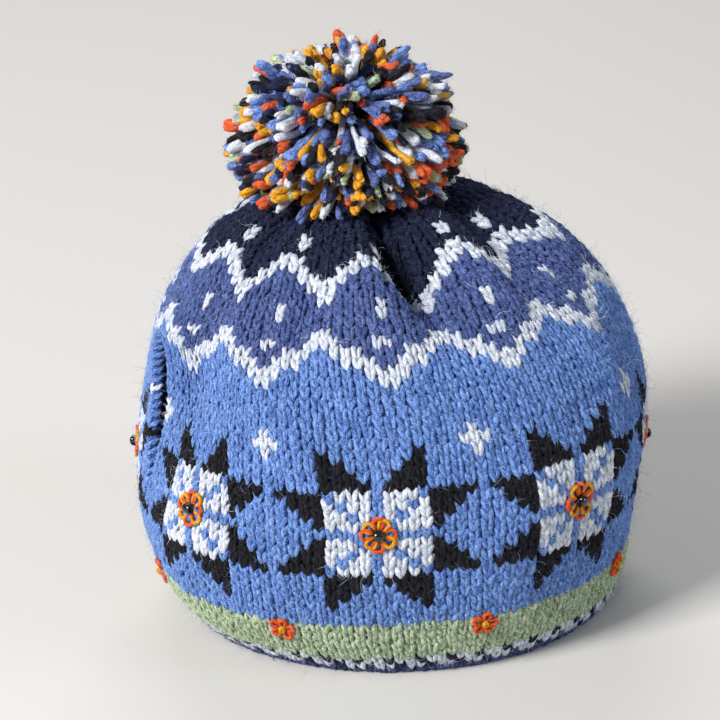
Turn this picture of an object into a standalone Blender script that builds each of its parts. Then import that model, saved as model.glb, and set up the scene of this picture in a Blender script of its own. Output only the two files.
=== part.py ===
# Tea cosy: one hand-knitted wool cover, gathered at the crown, with a slot for the spout
# at -X and one for the handle at +X, and a cut-wool pompom sewn on top.
# Metres, +Z up. The cover stands on its hem at z = 0, and its front faces -Y.

import random
from math import atan2, cos, degrees, exp, hypot, pi, radians, sin, tan

import bmesh
import bpy
from mathutils import Vector

PART_NAME = "tea_cosy"
MM = 0.001

# Driving sizes, metres and degrees
CLOTH_THICKNESS = 4.0 * MM
HEM_THICKNESS = 7.0 * MM          # the hem is turned under, so it is two layers
HEM_HEIGHT = 14.0 * MM
DEPTH_SHARE = 0.90                # front to back, as a share of side to side
CENTRE_X = 3.0 * MM               # sets the middle of the whole box over the origin
CENTRE_Y = -0.1 * MM
CROWN_LEAN_X = -14.5 * MM         # the crown leans, more and more between these two heights
CROWN_LEAN_Y = 8.0 * MM
LEAN_FROM = 60.0 * MM
LEAN_TO = 163.0 * MM
BELLY_LEAN_X = -4.6 * MM          # the belly leans too, most of all at its middle height
BELLY_MIDDLE = 64.0 * MM
BELLY_REACH = 76.0 * MM
ROW_TILT = 3.8 * MM               # the rows ride up towards the handle, above these heights
ROW_TILT_ANGLE = -35.0
TILT_FROM = 20.0 * MM
TILT_TO = 110.0 * MM
BODY_RADIUS = 100.0 * MM
COLUMNS = 104
RINGS = 25
ON_SEAM = 0.01                    # degrees within which a vertex counts as on a seam
HEM_PRESS = 5.0 * MM              # lower than this, the hem is pressed level

# Outer side of the body, from the gathered crown down to the hem, before it leans and folds
PROFILE_COLUMNS = ("radius_mm", "height_mm")
PROFILE = (
    (0.0, 163.0),
    (12.0, 162.6),
    (26.0, 161.0),
    (42.0, 156.5),
    (58.0, 148.5),
    (73.0, 137.5),
    (85.0, 123.5),
    (93.5, 106.0),
    (98.3, 87.0),
    (100.0, 67.0),
    (98.3, 47.0),
    (94.0, 27.0),
    (88.0, 10.0),
    (82.0, 0.0),
)

# Folds: where each lies round the body, how wide, how deep (a ridge is negative), the stretch
# of it down the outer side from the crown's centre, and how far round it slants on the way
FOLD_COLUMNS = ("angle_deg", "half_width_deg", "depth_mm", "from_mm", "deepest_mm", "to_mm", "slant_deg")
FOLDS = (
    (-102.5, 15.0, 7.5, 4.0, 62.0, 118.0, 17.0),
    (-103.5, 6.0, 9.0, 6.0, 56.0, 112.0, 17.0),
    (-67.0, 9.0, -3.0, 20.0, 60.0, 110.0, 0.0),
    (-107.0, 9.0, -2.5, 40.0, 82.0, 118.0, 0.0),
    (-50.0, 13.0, 6.5, 10.0, 64.0, 118.0, 0.0),
    (-126.0, 7.0, 3.0, 46.0, 80.0, 106.0, 0.0),
    (-151.0, 10.0, 4.0, 8.0, 48.0, 96.0, 0.0),
    (-24.0, 11.0, -3.0, 26.0, 62.0, 112.0, 0.0),
    (-4.0, 9.0, 5.0, 8.0, 46.0, 94.0, 0.0),
    (34.0, 10.0, 6.5, 6.0, 54.0, 104.0, 0.0),
    (62.0, 11.0, -2.5, 24.0, 66.0, 116.0, 0.0),
    (84.0, 9.0, 8.5, 6.0, 60.0, 112.0, 0.0),
    (118.0, 12.0, 4.5, 10.0, 50.0, 100.0, 0.0),
    (152.0, 10.0, 6.0, 8.0, 52.0, 98.0, 0.0),
    (180.0, 36.0, 11.5, 46.0, 108.0, 190.0, 0.0),
    (-25.0, 26.0, 4.0, 125.0, 184.0, 226.0, 0.0),
    (-150.0, 42.0, -3.5, 150.0, 205.0, 226.0, 0.0),
)

# Low, uneven swells of the wool all over: how many round the body, how high, where the first
# one stands, and how far each drifts round on its way down
SWELL_COLUMNS = ("count", "height_mm", "phase_deg", "drift_deg")
SWELLS = (
    (5, 0.9, 40.0, 70.0),
    (9, 0.6, 110.0, -50.0),
    (14, 0.45, 15.0, 35.0),
)
SWELL_TOP = 60.0 * MM             # they grow from the crown to here
SWELL_BOTTOM = 160.0 * MM         # and die away from here to the hem
PLEATS = 13                       # small gathers where the crown is drawn shut
PLEAT_HEIGHT = 1.5 * MM
PLEAT_REACH = 44.0 * MM
PLEAT_SHIFT = 1.3                 # radians by which they crowd together, at three places
PLEAT_CROWDS = 3
DISH_DEPTH = 5.0 * MM             # the crown sinks a little under the pompom
DISH_RADIUS = 24.0 * MM

# Slots left open in the side seams: where, between which rings of the turned body, how far
# each edge stands back from the seam, how near the top the slot is widest (1.0 is half way
# down, less is higher), and how far the cloth above it stands out
SLOT_COLUMNS = ("angle_deg", "top_ring", "bottom_ring", "half_gap_deg", "widest_power", "lip_mm")
SLOTS = (
    (180.0, 11, 18, 8.2, 0.55, 4.0),
    (0.0, 11, 18, 7.5, 0.70, 2.5),
)
SLOT_SPREAD = 42.0                # degrees over which the cloth is pushed aside
LIP_REACH = 20.0 * MM
LIP_SPREAD = 18.0                 # degrees

# Pompom
POMPOM_CENTRE = (CENTRE_X + CROWN_LEAN_X - 5.8 * MM, CENTRE_Y + CROWN_LEAN_Y + 1.5 * MM, 176.3 * MM)
CORE_HALF = (25.0 * MM, 25.0 * MM, 17.5 * MM)
POMPOM_HALF = (42.5 * MM, 42.5 * MM, 37.0 * MM)
FACE_SPLITS = 6                   # 7 x 7 faces on each of the core's six sides
CELL_SWING = 0.045                # how unevenly the core is parted into cells, on a ball of radius 1
ROOT_WIDTH = 0.82                 # widths of a lock in its cone: at the core, where it is fullest, at its tip
SHOULDER_WIDTH = 0.90
TIP_WIDTH = 0.52
SHOULDER_SHARE = 0.72             # how far out it is fullest, from 0 at the core to 1 at POMPOM_HALF
LOCK_ENDS = (0.92, 1.13)          # how far out the locks were cut
TIP_SWING = 0.40                  # how far a tip strays to one side of its cone
PRESSED = 0.35                    # how steeply the lowest locks still point down
UNDERSIDE = -0.72                 # no locks where the core faces down on the crown
SEED = 7


def start_empty_scene():
    for item in list(bpy.data.objects):
        bpy.data.objects.remove(item, do_unlink=True)


def make_collection(name):
    group = bpy.data.collections.new(name)
    bpy.context.scene.collection.children.link(group)
    return group


def make_material(name, colour, roughness):
    material = bpy.data.materials.new(name)
    material.use_nodes = True
    shader = material.node_tree.nodes["Principled BSDF"]
    shader.inputs["Base Color"].default_value = (*colour, 1.0)
    shader.inputs["Roughness"].default_value = roughness
    shader.inputs["Metallic"].default_value = 0.0
    return material


def smooth_step(low, high, value):
    share = min(max((value - low) / (high - low), 0.0), 1.0)
    return share * share * (3.0 - 2.0 * share)


def angle_between(one, other):
    return (one - other + 180.0) % 360.0 - 180.0


def profile_runs():
    runs = [0.0]
    for (radius, height), (next_radius, next_height) in zip(PROFILE, PROFILE[1:]):
        runs.append(runs[-1] + hypot(next_radius - radius, next_height - height) * MM)
    return runs


RUNS = profile_runs()
LENGTH = RUNS[-1]
RING_STEP = LENGTH / (RINGS - 1)


def slope_at(index):
    before = max(index - 1, 0)
    after = min(index + 1, len(PROFILE) - 1)
    span = RUNS[after] - RUNS[before]
    return [(PROFILE[after][axis] - PROFILE[before][axis]) * MM / span for axis in (0, 1)]


def profile_point(run):
    """Radius and height at a distance down the outer side, on a smooth curve through the table."""
    index = 0
    while index < len(PROFILE) - 2 and run > RUNS[index + 1]:
        index += 1
    span = RUNS[index + 1] - RUNS[index]
    share = (run - RUNS[index]) / span
    near, far = slope_at(index), slope_at(index + 1)
    weights = (
        2.0 * share ** 3 - 3.0 * share ** 2 + 1.0,
        (share ** 3 - 2.0 * share ** 2 + share) * span,
        3.0 * share ** 2 - 2.0 * share ** 3,
        (share ** 3 - share ** 2) * span,
    )
    return [
        weights[0] * PROFILE[index][axis] * MM
        + weights[1] * near[axis]
        + weights[2] * PROFILE[index + 1][axis] * MM
        + weights[3] * far[axis]
        for axis in (0, 1)
    ]


def fold_share(run, start, deepest, end):
    """0 at both ends of a fold and beyond, 1 where it is deepest."""
    if run < deepest:
        return smooth_step(start, deepest, run)
    return 1.0 - smooth_step(deepest, end, run)


def fold_depth(angle, run):
    """How far the folds draw the cloth in at this place."""
    depth = 0.0
    for centre, width, deep, start, deepest, end, slant in FOLDS:
        line = centre + slant * min(max((run / MM - start) / (end - start), 0.0), 1.0)
        across = angle_between(angle, line) / width
        share = fold_share(run / MM, start, deepest, end)
        depth += deep * MM * exp(-across * across) * share
    for count, height, phase, drift in SWELLS:
        turn = count * radians(angle - phase + drift * run / LENGTH)
        swell = height * MM * sin(turn) * smooth_step(0.0, SWELL_TOP, run)
        depth -= swell * (1.0 - smooth_step(SWELL_BOTTOM, LENGTH, run))
    if run < PLEAT_REACH:
        crowd = PLEAT_SHIFT * sin(PLEAT_CROWDS * radians(angle))
        wave = cos(PLEATS * radians(angle) + crowd)
        depth += PLEAT_HEIGHT * wave * sin(pi * run / PLEAT_REACH) ** 2
    return depth


def slot_shift(angle, run, side):
    """Degrees that a slot's open edge pushes the cloth round, and how far its lip stands out."""
    shift = 0.0
    lip = 0.0
    for centre, top_ring, bottom_ring, half_gap, power, lip_height in SLOTS:
        away = angle_between(angle, centre)
        if abs(away) > SLOT_SPREAD:
            continue
        across = abs(away) / SLOT_SPREAD
        fade = (1.0 - across) ** 2 * (1.0 + across)
        direction = side if abs(away) < ON_SEAM else (1.0 if away > 0.0 else -1.0)
        down = (run - top_ring * RING_STEP) / ((bottom_ring - top_ring) * RING_STEP)
        if 0.0 < down < 1.0:
            shift += direction * half_gap * fade * sin(pi * down ** power)
        above = (run - top_ring * RING_STEP) / LIP_REACH
        lip += lip_height * MM * exp(-above * above) * exp(-(away / LIP_SPREAD) ** 2)
    return shift, lip


def cloth_point(angle, run, side):
    """Where the outer face of the cover lies, in the shape in which it stands."""
    radius, height = profile_point(run)
    ahead, behind = profile_point(min(run + MM, LENGTH)), profile_point(max(run - MM, 0.0))
    along = Vector((ahead[0] - behind[0], ahead[1] - behind[1])).normalized()
    shift, lip = slot_shift(angle, run, side)
    inward = fold_depth(angle, run) - lip
    radius += along.y * inward
    height -= along.x * inward
    height -= DISH_DEPTH * exp(-(radius / DISH_RADIUS) ** 2)
    turn = radians(angle + shift)
    lean = smooth_step(LEAN_FROM, LEAN_TO, height)
    belly = cos(pi / 2.0 * min(abs(height - BELLY_MIDDLE) / BELLY_REACH, 1.0))
    tilt = ROW_TILT * smooth_step(TILT_FROM, TILT_TO, height) * radius / BODY_RADIUS
    return Vector((
        CENTRE_X + radius * cos(turn) + CROWN_LEAN_X * lean + BELLY_LEAN_X * belly,
        CENTRE_Y + radius * sin(turn) * DEPTH_SHARE + CROWN_LEAN_Y * lean,
        max(height + tilt * cos(turn - radians(ROW_TILT_ANGLE)), 0.0),
    ))


def apply_modifiers(thing):
    graph = bpy.context.evaluated_depsgraph_get()
    finished = bpy.data.meshes.new_from_object(thing.evaluated_get(graph))
    thing.modifiers.clear()
    thing.data = finished


def ring_points():
    """Distance, radius and height of each ring, with one more ring just above the hem."""
    runs = [ring * RING_STEP for ring in range(RINGS - 1)] + [LENGTH - HEM_HEIGHT / 2.0, LENGTH]
    return [(run, *profile_point(run)) for run in runs]


RING_POINTS = ring_points()


def turned_body(name, group):
    """The outer side as a plain turned surface: a half profile and a Screw modifier."""
    mesh = bpy.data.meshes.new(name)
    side = [(radius, 0.0, height) for _, radius, height in RING_POINTS]
    mesh.from_pydata(side, [(index, index + 1) for index in range(len(side) - 1)], [])
    body = bpy.data.objects.new(name, mesh)
    group.objects.link(body)
    screw = body.modifiers.new("Turn", "SCREW")
    screw.steps = COLUMNS
    screw.render_steps = COLUMNS
    screw.use_merge_vertices = True
    screw.merge_threshold = 0.0001
    apply_modifiers(body)
    return body


def place_on_body(point):
    """Angle round the turned body and distance down its side, for one of its vertices."""
    radius = hypot(point.x, point.y)
    angle = degrees(atan2(point.y, point.x)) if radius > MM else 0.0
    ring = min(RING_POINTS, key=lambda ring: hypot(ring[1] - radius, ring[2] - point.z))
    return angle, ring[0]


def slot_edges(shape):
    """The seam edges between each slot's top and bottom rings."""
    edges = []
    for edge in shape.edges:
        ends = [place_on_body(vert.co) for vert in edge.verts]
        for centre, top_ring, bottom_ring, *_ in SLOTS:
            on_seam = all(abs(angle_between(angle, centre)) < ON_SEAM for angle, _ in ends)
            top = (top_ring - 0.5) * RING_STEP
            bottom = (bottom_ring + 0.5) * RING_STEP
            if on_seam and all(top < run < bottom for _, run in ends):
                edges.append(edge)
    return edges


def side_of_seam(vert, angle):
    """Which way round the body a vertex on a seam moves when its slot opens."""
    middle = sum(face.calc_center_median().y for face in vert.link_faces)
    back = 1.0 if middle > 0.0 else -1.0
    return back if abs(angle) < 90.0 else -back


def hang_cloth(cover):
    """Split the slots open and move the turned body into the shape in which it stands."""
    shape = bmesh.new()
    shape.from_mesh(cover.data)
    bmesh.ops.recalc_face_normals(shape, faces=shape.faces)
    bmesh.ops.split_edges(shape, edges=slot_edges(shape))
    moved = {}
    for vert in shape.verts:
        angle, run = place_on_body(vert.co)
        moved[vert] = cloth_point(angle, run, side_of_seam(vert, angle))
    for vert, point in moved.items():
        vert.co = point
    shape.to_mesh(cover.data)
    shape.free()


def thicken_cloth(cover):
    """Give the sheet its thickness inward, twice as much at the turned-under hem."""
    hem = cover.vertex_groups.new(name="Hem")
    for vert in cover.data.vertices:
        share = 1.0 - smooth_step(0.5 * HEM_HEIGHT, 1.5 * HEM_HEIGHT, vert.co.z)
        hem.add([vert.index], share, "REPLACE")
    solid = cover.modifiers.new("Cloth", "SOLIDIFY")
    solid.thickness = HEM_THICKNESS
    solid.offset = -1.0
    solid.vertex_group = hem.name
    solid.thickness_vertex_group = CLOTH_THICKNESS / HEM_THICKNESS
    apply_modifiers(cover)
    cover.vertex_groups.clear()


def flatten_hem(cover):
    """Press the hem's lower edge level, where the cover rests."""
    for vert in cover.data.vertices:
        if vert.co.z < HEM_PRESS:
            vert.co.z = 0.0


def shade_smooth(thing):
    for face in thing.data.polygons:
        face.use_smooth = True


def make_cover(group, material):
    """A turned body, opened at the slots, hung in its folds and given its thickness."""
    cover = turned_body("knitted_cover", group)
    hang_cloth(cover)
    thicken_cloth(cover)
    flatten_hem(cover)
    shade_smooth(cover)
    cover.data.materials.clear()
    cover.data.materials.append(material)
    return cover


def pressed_aside(outward):
    """A direction out of the pompom's middle, turned up where the crown underneath presses on the wool."""
    return Vector((outward.x, outward.y, max(outward.z, outward.z * PRESSED))).normalized()


def lock_point(corner, middle, width, share):
    """A point of one lock inside its own cone, `width` of the cone wide and `share` of the way out."""
    outward = middle.lerp(corner, width).normalized()
    root = outward * Vector(CORE_HALF)
    tip = pressed_aside(outward) * Vector(POMPOM_HALF)
    return Vector(POMPOM_CENTRE) + root.lerp(tip, share)


def ball_of_cells(chance):
    """A unit ball parted into four-sided cells of uneven shape, one for each lock."""
    shape = bmesh.new()
    bmesh.ops.create_cube(shape, size=2.0)
    bmesh.ops.subdivide_edges(shape, edges=shape.edges, cuts=FACE_SPLITS, use_grid_fill=True)
    for vert in shape.verts:
        ball = Vector([tan(axis * pi / 4.0) for axis in vert.co]).normalized()
        stray = Vector([chance.uniform(-1.0, 1.0) for _ in range(3)]) * CELL_SWING
        vert.co = (ball + stray).normalized()
    shape.normal_update()
    return shape


def draw_lock(shape, face, chance):
    """Raise a cell of the ball into a lock of three rings, which stays inside its own cone."""
    below = list(face.verts)
    corners = [vert.co.normalized() for vert in below]
    middle = sum(corners, Vector()) / len(corners)
    aim = middle.lerp(chance.choice(corners), chance.uniform(0.0, TIP_SWING))
    end = chance.uniform(*LOCK_ENDS)
    shape.faces.remove(face)
    for target, width, share in (
        (middle, ROOT_WIDTH, 0.0),
        (middle, SHOULDER_WIDTH, SHOULDER_SHARE),
        (aim, TIP_WIDTH, end),
    ):
        above = [shape.verts.new(lock_point(corner, target, width, share)) for corner in corners]
        for low, high, next_high, next_low in zip(below, above, above[1:] + above[:1], below[1:] + below[:1]):
            shape.faces.new((low, next_low, next_high, high))
        below = above
    shape.faces.new(below)


def make_pompom(group, material):
    """A core whose faces are parted at their roots and drawn out into cut locks of wool."""
    chance = random.Random(SEED)
    shape = ball_of_cells(chance)
    core = list(shape.verts)
    for face in [face for face in shape.faces if face.normal.z > UNDERSIDE]:
        draw_lock(shape, face, chance)
    for vert in core:
        vert.co = lock_point(vert.co.normalized(), vert.co, 1.0, 0.0)
    bmesh.ops.recalc_face_normals(shape, faces=shape.faces)
    mesh = bpy.data.meshes.new("pompom")
    shape.to_mesh(mesh)
    shape.free()
    mesh.materials.append(material)
    pompom = bpy.data.objects.new("pompom", mesh)
    group.objects.link(pompom)
    return pompom


start_empty_scene()
parts = make_collection(PART_NAME)
wool_blue = make_material("blue_wool", (0.10, 0.20, 0.50), 0.95)
wool_mixed = make_material("mixed_wool", (0.12, 0.16, 0.30), 0.95)
make_cover(parts, wool_blue)
make_pompom(parts, wool_mixed)
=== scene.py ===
from math import cos, pi, radians, sin

import bpy
import numpy as np
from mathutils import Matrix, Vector


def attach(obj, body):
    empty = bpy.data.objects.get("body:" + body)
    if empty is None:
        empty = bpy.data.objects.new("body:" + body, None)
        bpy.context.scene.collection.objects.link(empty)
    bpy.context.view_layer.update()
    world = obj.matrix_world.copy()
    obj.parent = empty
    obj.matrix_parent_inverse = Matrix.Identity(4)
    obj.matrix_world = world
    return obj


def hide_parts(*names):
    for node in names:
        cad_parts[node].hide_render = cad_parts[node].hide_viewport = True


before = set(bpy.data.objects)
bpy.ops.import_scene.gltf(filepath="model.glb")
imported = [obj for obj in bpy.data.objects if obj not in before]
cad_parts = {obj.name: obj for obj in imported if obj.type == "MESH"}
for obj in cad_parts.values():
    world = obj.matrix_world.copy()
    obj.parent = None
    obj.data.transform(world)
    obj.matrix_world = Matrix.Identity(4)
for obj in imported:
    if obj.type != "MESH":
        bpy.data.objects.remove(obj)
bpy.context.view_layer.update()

mm = 0.001
print("frame loaded")


# the shape in which the cosy stands, as its solid has it; lengths in mm and angles in degrees
body = {
    "centre": (3.0, -0.1),
    "depthShare": 0.90,  # depth against width
    "crownLean": (-14.5, 8.0),  # the crown leans this way, between these heights
    "leanFrom": 60.0,
    "leanTo": 163.0,
    "bellyLean": -4.6,
    "bellyMiddle": 64.0,
    "bellyReach": 76.0,
    "rowTilt": 3.8,  # the rows of knitting rise on one side
    "rowTiltAngle": -35.0,
    "tiltFrom": 20.0,
    "tiltTo": 110.0,
    "radius": 100.0,
    "rings": 24,
    "dishDepth": 5.0,  # hollow under the pompom
    "dishRadius": 24.0,
    "swellTop": 60.0,
    "swellBottom": 160.0,
    "pleats": 13,  # gathers round the crown
    "pleatHeight": 1.5,
    "pleatReach": 44.0,
    "pleatShift": 1.3,
    "pleatCrowds": 3,
    "slotSpread": 42.0,
    "lipReach": 20.0,  # the cloth stands out above each slot
    "lipSpread": 18.0,
    "floorGap": 0.25,  # nothing comes nearer to the floor
}

# radius and height, from the crown down to the hem
profile = np.array((
    (0.0, 163.0), (12.0, 162.6), (26.0, 161.0), (42.0, 156.5), (58.0, 148.5),
    (73.0, 137.5), (85.0, 123.5), (93.5, 106.0), (98.3, 87.0), (100.0, 67.0),
    (98.3, 47.0), (94.0, 27.0), (88.0, 10.0), (82.0, 0.0),
))

# angle, half width in degrees, depth (a ridge is negative), where it starts, is deepest and ends,
# and the degrees that it slants on its way down
folds = (
    (-102.5, 15.0, 7.5, 4.0, 62.0, 118.0, 17.0),
    (-103.5, 6.0, 9.0, 6.0, 56.0, 112.0, 17.0),
    (-67.0, 9.0, -3.0, 20.0, 60.0, 110.0, 0.0),
    (-107.0, 9.0, -2.5, 40.0, 82.0, 118.0, 0.0),
    (-50.0, 13.0, 6.5, 10.0, 64.0, 118.0, 0.0),
    (-126.0, 7.0, 3.0, 46.0, 80.0, 106.0, 0.0),
    (-151.0, 10.0, 4.0, 8.0, 48.0, 96.0, 0.0),
    (-24.0, 11.0, -3.0, 26.0, 62.0, 112.0, 0.0),
    (-4.0, 9.0, 5.0, 8.0, 46.0, 94.0, 0.0),
    (34.0, 10.0, 6.5, 6.0, 54.0, 104.0, 0.0),
    (62.0, 11.0, -2.5, 24.0, 66.0, 116.0, 0.0),
    (84.0, 9.0, 8.5, 6.0, 60.0, 112.0, 0.0),
    (118.0, 12.0, 4.5, 10.0, 50.0, 100.0, 0.0),
    (152.0, 10.0, 6.0, 8.0, 52.0, 98.0, 0.0),
    (180.0, 36.0, 11.5, 46.0, 108.0, 190.0, 0.0),
    (-25.0, 26.0, 4.0, 125.0, 184.0, 226.0, 0.0),
    (-150.0, 42.0, -3.5, 150.0, 205.0, 226.0, 0.0),
)

# sharper creases pressed into the cloth, in the same terms
creases = (
    (-102.0, 3.8, 4.2, 8.0, 58.0, 120.0, 17.0),
    (-114.0, 3.6, -1.4, 10.0, 52.0, 110.0, 17.0),
    (-126.0, 4.0, 1.8, 50.0, 88.0, 124.0, 2.0),
    (-66.0, 4.5, 2.2, 30.0, 78.0, 120.0, 6.0),
    (-138.0, 5.0, 1.6, 60.0, 92.0, 130.0, 0.0),
    (-40.0, 5.0, 1.8, 52.0, 92.0, 128.0, 0.0),
    (86.0, 3.4, 4.0, 10.0, 58.0, 116.0, 0.0),
    (30.0, 4.0, 2.2, 20.0, 60.0, 110.0, 0.0),
    (140.0, 4.5, 2.0, 24.0, 66.0, 118.0, 0.0),
)

# count round the body, height, phase and drift in degrees
swells = ((5, 0.9, 40.0, 70.0), (9, 0.6, 110.0, -50.0), (14, 0.45, 15.0, 35.0))

# angle, top and bottom ring, half gap in degrees, power that sets the widest place, lip height
slots = ((180.0, 11, 18, 8.2, 0.55, 4.0), (0.0, 11, 18, 7.5, 0.70, 2.5))


def smoothStep(low, high, value):
    share = np.clip((value - low) / (high - low), 0.0, 1.0)
    return share * share * (3.0 - 2.0 * share)


def angleBetween(one, other):
    return (one - other + 180.0) % 360.0 - 180.0


runs = np.concatenate(([0.0], np.cumsum(np.hypot(*np.diff(profile, axis=0).T))))
length = runs[-1]
ringStep = length / body["rings"]


def profileSlopes():
    before = np.maximum(np.arange(len(runs)) - 1, 0)
    after = np.minimum(np.arange(len(runs)) + 1, len(runs) - 1)
    return (profile[after] - profile[before]) / (runs[after] - runs[before])[:, None]


slopes = profileSlopes()


def profileAt(run):
    # past the hem the cloth turns in and lies flat on the table
    under = np.maximum(run - length, 0.0)
    run = np.clip(run, 0.0, length)
    index = np.clip(np.searchsorted(runs, run, side="left") - 1, 0, len(runs) - 2)
    span = runs[index + 1] - runs[index]
    share = ((run - runs[index]) / span)[:, None]
    span = span[:, None]
    point = (
        (2 * share ** 3 - 3 * share ** 2 + 1) * profile[index]
        + (share ** 3 - 2 * share ** 2 + share) * span * slopes[index]
        + (3 * share ** 2 - 2 * share ** 3) * profile[index + 1]
        + (share ** 3 - share ** 2) * span * slopes[index + 1]
    )
    return point[:, 0] - under, point[:, 1]


def foldDepth(angle, run):
    depth = np.zeros_like(run)
    for centre, width, deep, start, deepest, end, slant in folds + creases:
        line = centre + slant * np.clip((run - start) / (end - start), 0.0, 1.0)
        across = angleBetween(angle, line) / width
        share = np.where(
            run < deepest, smoothStep(start, deepest, run), 1.0 - smoothStep(deepest, end, run))
        depth += deep * np.exp(-across * across) * share
    fade = smoothStep(0.0, body["swellTop"], run) * (1.0 - smoothStep(body["swellBottom"], length, run))
    for count, height, phase, drift in swells:
        depth -= height * np.sin(count * np.radians(angle - phase + drift * run / length)) * fade
    crowd = body["pleatShift"] * np.sin(body["pleatCrowds"] * np.radians(angle))
    wave = np.cos(body["pleats"] * np.radians(angle) + crowd)
    reach = np.clip(run / body["pleatReach"], 0.0, 1.0)
    return depth + body["pleatHeight"] * wave * np.sin(pi * reach) ** 2


def slotShift(angle, run, side):
    # side is 1 on the back panel and -1 on the front one
    shift = np.zeros_like(run)
    lip = np.zeros_like(run)
    for centre, topRing, bottomRing, halfGap, power, lipHeight in slots:
        away = angleBetween(angle, centre)
        across = np.clip(np.abs(away) / body["slotSpread"], 0.0, 1.0)
        fade = (1.0 - across) ** 2 * (1.0 + across)
        direction = side if centre == 0.0 else -side
        down = np.clip((run - topRing * ringStep) / ((bottomRing - topRing) * ringStep), 0.0, 1.0)
        shift += direction * halfGap * fade * np.sin(pi * down ** power)
        above = (run - topRing * ringStep) / body["lipReach"]
        lip += lipHeight * np.exp(-above ** 2 - (away / body["lipSpread"]) ** 2)
    return shift, lip


def clothAt(angle, run, side):
    radius, height = profileAt(run)
    nearby = np.clip(run, 0.0, length - 1.0)
    aheadRadius, aheadHeight = profileAt(nearby + 1.0)
    behindRadius, behindHeight = profileAt(np.maximum(nearby - 1.0, 0.0))
    out, down = aheadRadius - behindRadius, aheadHeight - behindHeight
    size = np.hypot(out, down)
    shift, lip = slotShift(angle, run, side)
    inward = foldDepth(angle, run) - lip
    radius = radius + down / size * inward
    height = height - out / size * inward
    height = height - body["dishDepth"] * np.exp(-(radius / body["dishRadius"]) ** 2)
    turn = np.radians(angle + shift)
    lean = smoothStep(body["leanFrom"], body["leanTo"], height)
    belly = np.cos(pi / 2 * np.clip(np.abs(height - body["bellyMiddle"]) / body["bellyReach"], 0.0, 1.0))
    tilt = body["rowTilt"] * smoothStep(body["tiltFrom"], body["tiltTo"], height) * radius / body["radius"]
    return np.stack((
        body["centre"][0] + radius * np.cos(turn) + body["crownLean"][0] * lean + body["bellyLean"] * belly,
        body["centre"][1] + radius * np.sin(turn) * body["depthShare"] + body["crownLean"][1] * lean,
        np.maximum(height + tilt * np.cos(turn - radians(body["rowTiltAngle"])), 0.0),
    ), axis=-1)


def onCloth(angle, run, side, lift):
    # a point above or below the outer face, in metres
    place = clothAt(angle, run, side)
    clear = np.maximum(run, 1.0)
    around = clothAt(angle + 0.25, clear, side) - clothAt(angle - 0.25, clear, side)
    down = clothAt(angle, clear + 0.5, side) - clothAt(angle, clear - 0.5, side)
    normal = np.cross(down, around)
    normal /= np.linalg.norm(normal, axis=-1, keepdims=True)
    point = place + normal * lift[:, None]
    point[:, 2] = np.maximum(point[:, 2], body["floorGap"])
    return point * mm


def fromCloth(places, points):
    # points are items x points x (across, up, lift) in mm from each item's place on the cloth
    angle, run, side = (np.repeat(part, points.shape[1]) for part in places)
    around = np.linalg.norm(clothAt(angle + 0.5, run, side) - clothAt(angle - 0.5, run, side), axis=-1)
    flat = points.reshape(-1, 3)
    return onCloth(angle + flat[:, 0] / around, run - flat[:, 1], side, flat[:, 2])


# yarn is made as closed tubes, joined into one mesh from arrays
def unit(vectors):
    return vectors / np.maximum(np.linalg.norm(vectors, axis=-1, keepdims=True), 1e-9)


def tubePoints(path, radii, up, sides, flatness=1.0):
    # path is tubes x stations x 3; the first and last stations are the closed tips
    along = unit(np.gradient(path, axis=1))
    up = unit(up - (up * along).sum(-1, keepdims=True) * along)
    across = np.cross(up, along)
    turn = 2.0 * pi * np.arange(sides) / sides
    ring = (
        across[:, 1:-1, None] * np.cos(turn)[:, None]
        + up[:, 1:-1, None] * np.sin(turn)[:, None] * flatness
    ) * radii[:, 1:-1, None, None]
    rings = (path[:, 1:-1, None] + ring).reshape(len(path), -1, 3)
    return np.concatenate((path[:, :1], rings, path[:, -1:]), axis=1)


def yarnMarks(path, sides):
    # where each point lies round and along its yarn, for the twist: cosine, sine and millimetres
    steps = np.linalg.norm(np.diff(path, axis=1), axis=-1)
    reach = np.concatenate((np.zeros((len(path), 1)), np.cumsum(steps, axis=1)), axis=1)
    turn = 2.0 * pi * np.arange(sides) / sides
    count = path.shape[1] - 2
    marks = np.zeros((len(path), count * sides + 2, 3))
    marks[:, 1:-1, 0] = np.tile(np.cos(turn), count)
    marks[:, 1:-1, 1] = np.tile(np.sin(turn), count)
    marks[:, 1:-1, 2] = np.repeat(reach[:, 1:-1], sides, axis=1)
    marks[:, (0, -1), 1] = 1.0
    marks[:, -1, 2] = reach[:, -1]
    return marks


def tubeFaces(rings, sides):
    faces = [(0, 1 + (k + 1) % sides, 1 + k) for k in range(sides)]
    for ring in range(rings - 1):
        low, high = 1 + ring * sides, 1 + (ring + 1) * sides
        faces += [(low + k, low + (k + 1) % sides, high + (k + 1) % sides, high + k) for k in range(sides)]
    last, tip = 1 + (rings - 1) * sides, 1 + rings * sides
    faces += [(last + k, last + (k + 1) % sides, tip) for k in range(sides)]
    return faces


def meshFromFaces(name, points, faces, copies=1):
    # faces are those of one copy; the points of all copies follow each other
    loops = np.concatenate([np.array(face) for face in faces])
    sizes = np.array([len(face) for face in faces])
    each = len(points) // copies
    allLoops = (loops[None] + each * np.arange(copies)[:, None]).ravel()
    starts = np.concatenate(([0], np.cumsum(np.tile(sizes, copies))[:-1]))
    mesh = bpy.data.meshes.new(name)
    mesh.vertices.add(len(points))
    mesh.vertices.foreach_set("co", points.astype(np.float32).ravel())
    mesh.loops.add(len(allLoops))
    mesh.loops.foreach_set("vertex_index", allLoops.astype(np.int32))
    mesh.polygons.add(len(starts))
    mesh.polygons.foreach_set("loop_start", starts.astype(np.int32))
    mesh.polygons.foreach_set("use_smooth", np.ones(len(starts), dtype=bool))
    mesh.update(calc_edges=True)
    mesh.validate()
    return mesh


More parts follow.
